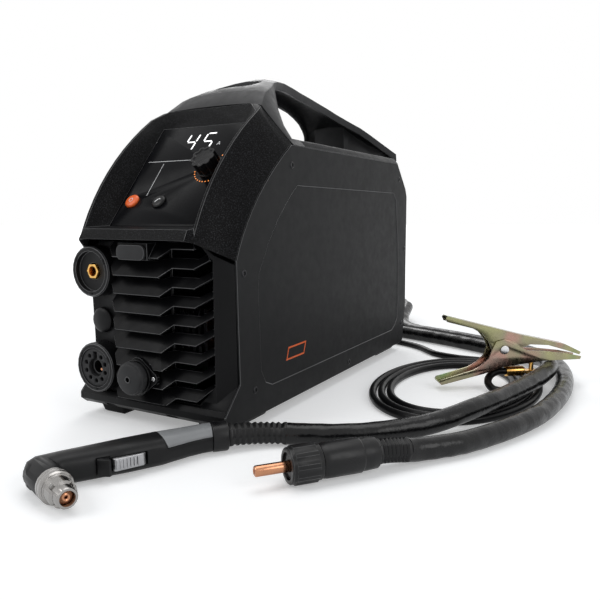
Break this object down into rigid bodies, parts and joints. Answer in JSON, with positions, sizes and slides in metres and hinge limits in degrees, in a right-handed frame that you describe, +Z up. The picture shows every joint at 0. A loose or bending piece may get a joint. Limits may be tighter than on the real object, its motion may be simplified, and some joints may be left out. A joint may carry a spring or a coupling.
{
  "type": "plasma cutter unit",
  "caption": "Portable plasma cutter: upright power source with carry handle, sloping control fascia and louvred front, with its torch on a hose and its earth lead with clamp",
  "frame": {"origin": "Centre of the power source's footprint, on the floor under its feet.", "axes": "+Z up; -Y the front with fascia, louvres and sockets; +Y the rear; +X the side towards the viewer in the picture."},
  "size_m": [0.4972, 0.8565, 0.3325],
  "materials": {
    "panel_paint": "satin",
    "housing_plastic": "matte",
    "fascia_gloss": "gloss",
    "grille_plastic": "matte",
    "rubber": "matte",
    "orange_plastic": "gloss",
    "brass": "satin",
    "copper": "satin",
    "steel": "satin",
    "aluminium": "satin",
    "grey_plastic": "matte",
    "board_green": "matte",
    "yellow_zinc": "satin"
  },
  "bodies": {
    "unit": {"air_inlet_fitting": "brass", "base_tray": "panel_paint", "blank_plug": "rubber", "cable_gland": "rubber", "cap_tether": "rubber", "capacitor_bank": "rubber", "carry_handle": "housing_plastic", "clamp_lower_arm": "yellow_zinc", "clamp_lug": "brass", "clamp_rivet": "steel", "clamp_spring": "steel", "control_board": "board_green", "control_fascia": "fascia_gloss", "cutting_nozzle": "copper", "earth_lead_coil": "rubber", "earth_lead_tail": "rubber", "earth_plug": "rubber", "earth_socket_contact": "brass", "earth_socket_shell": "rubber", "fan_frame": "rubber", "foot_front_left": "rubber", "foot_front_right": "rubber", "foot_rear_left": "rubber", "foot_rear_right": "rubber", "front_frame": "housing_plastic", "front_visor": "housing_plastic", "heat_sink": "aluminium", "louvre_grille": "grille_plastic", "main_board": "board_green", "mains_switch_frame": "rubber", "plug_barrel": "rubber", "plug_boot": "rubber", "plug_pin": "copper", "power_transformer": "copper", "rear_panel": "panel_paint", "remote_socket_flange": "grille_plastic", "shield_cup": "steel", "side_panel_left": "panel_paint", "side_panel_right": "panel_paint", "top_cover": "housing_plastic", "torch_body": "housing_plastic", "torch_boot": "rubber", "torch_collar": "rubber", "torch_grip_insert": "grey_plastic", "torch_hose_coil": "rubber", "torch_hose_front": "rubber", "torch_hose_rear": "rubber", "torch_socket_insert": "rubber", "torch_socket_shell": "rubber"},
    "current_knob": {"current_knob": "fascia_gloss"},
    "mode_button": {"mode_button": "orange_plastic"},
    "function_button": {"function_button": "fascia_gloss"},
    "port_cover": {"port_cover": "rubber"},
    "remote_cap": {"remote_socket_cap": "grille_plastic"},
    "mains_rocker": {"mains_switch_rocker": "rubber"},
    "fan_rotor": {"fan_rotor": "rubber"},
    "torch_trigger": {"torch_trigger": "aluminium"},
    "torch_catch": {"torch_safety_catch": "housing_plastic"},
    "plug_nut": {"plug_nut": "rubber"},
    "clamp_jaw": {"clamp_upper_arm": "yellow_zinc"}
  },
  "joints": [
    {"name": "current_knob_turn", "type": "hinge", "parent": "unit", "child": "current_knob", "pos_m": [0.0343, -0.14871, 0.22925], "axis": [0, -0.7682, 0.6402], "continuous": true},
    {"name": "mode_button_push", "type": "slide", "parent": "unit", "child": "mode_button", "axis": [0, 0.7682, -0.6402], "range_m": [0, 0.0008], "stiffness_N_per_m": 900},
    {"name": "function_button_push", "type": "slide", "parent": "unit", "child": "function_button", "axis": [0, 0.7682, -0.6402], "range_m": [0, 0.0008], "stiffness_N_per_m": 900},
    {"name": "port_cover_hinge", "type": "hinge", "parent": "unit", "child": "port_cover", "pos_m": [0, -0.2161, 0.1507], "axis": [1, 0, 0], "range_deg": [0, 90]},
    {"name": "remote_cap_twist", "type": "hinge", "parent": "unit", "child": "remote_cap", "pos_m": [0, -0.2135, 0.0495], "axis": [0, -1, 0], "range_deg": [0, 90]},
    {"name": "mains_rocker_tilt", "type": "hinge", "parent": "unit", "child": "mains_rocker", "pos_m": [-0.042, 0.204, 0.19], "axis": [1, 0, 0], "range_deg": [0, 14]},
    {"name": "fan_spin", "type": "hinge", "parent": "unit", "child": "fan_rotor", "pos_m": [0, 0.2052, 0.082], "axis": [0, 1, 0], "continuous": true},
    {"name": "torch_trigger_pull", "type": "hinge", "parent": "unit", "child": "torch_trigger", "pos_m": [0.06477, -0.27863, 0.01205], "axis": [0, 0, -1], "range_deg": [0, 7], "stiffness_Nm_per_rad": 0.6},
    {"name": "torch_catch_swing", "type": "hinge", "parent": "unit", "child": "torch_catch", "pos_m": [0.05106, -0.30647, 0.01205], "axis": [0, 0, -1], "range_deg": [0, 50]},
    {"name": "plug_nut_turn", "type": "hinge", "parent": "unit", "child": "plug_nut", "pos_m": [0.1535, -0.265, 0.0144], "axis": [0.632, 0.7749, 0], "continuous": true},
    {"name": "clamp_jaw_open", "type": "hinge", "parent": "unit", "child": "clamp_jaw", "pos_m": [0.24558, 0.08016, 0.0431], "axis": [0.5721, -0.8202, 0], "range_deg": [0, 20], "stiffness_Nm_per_rad": 3}
  ]
}
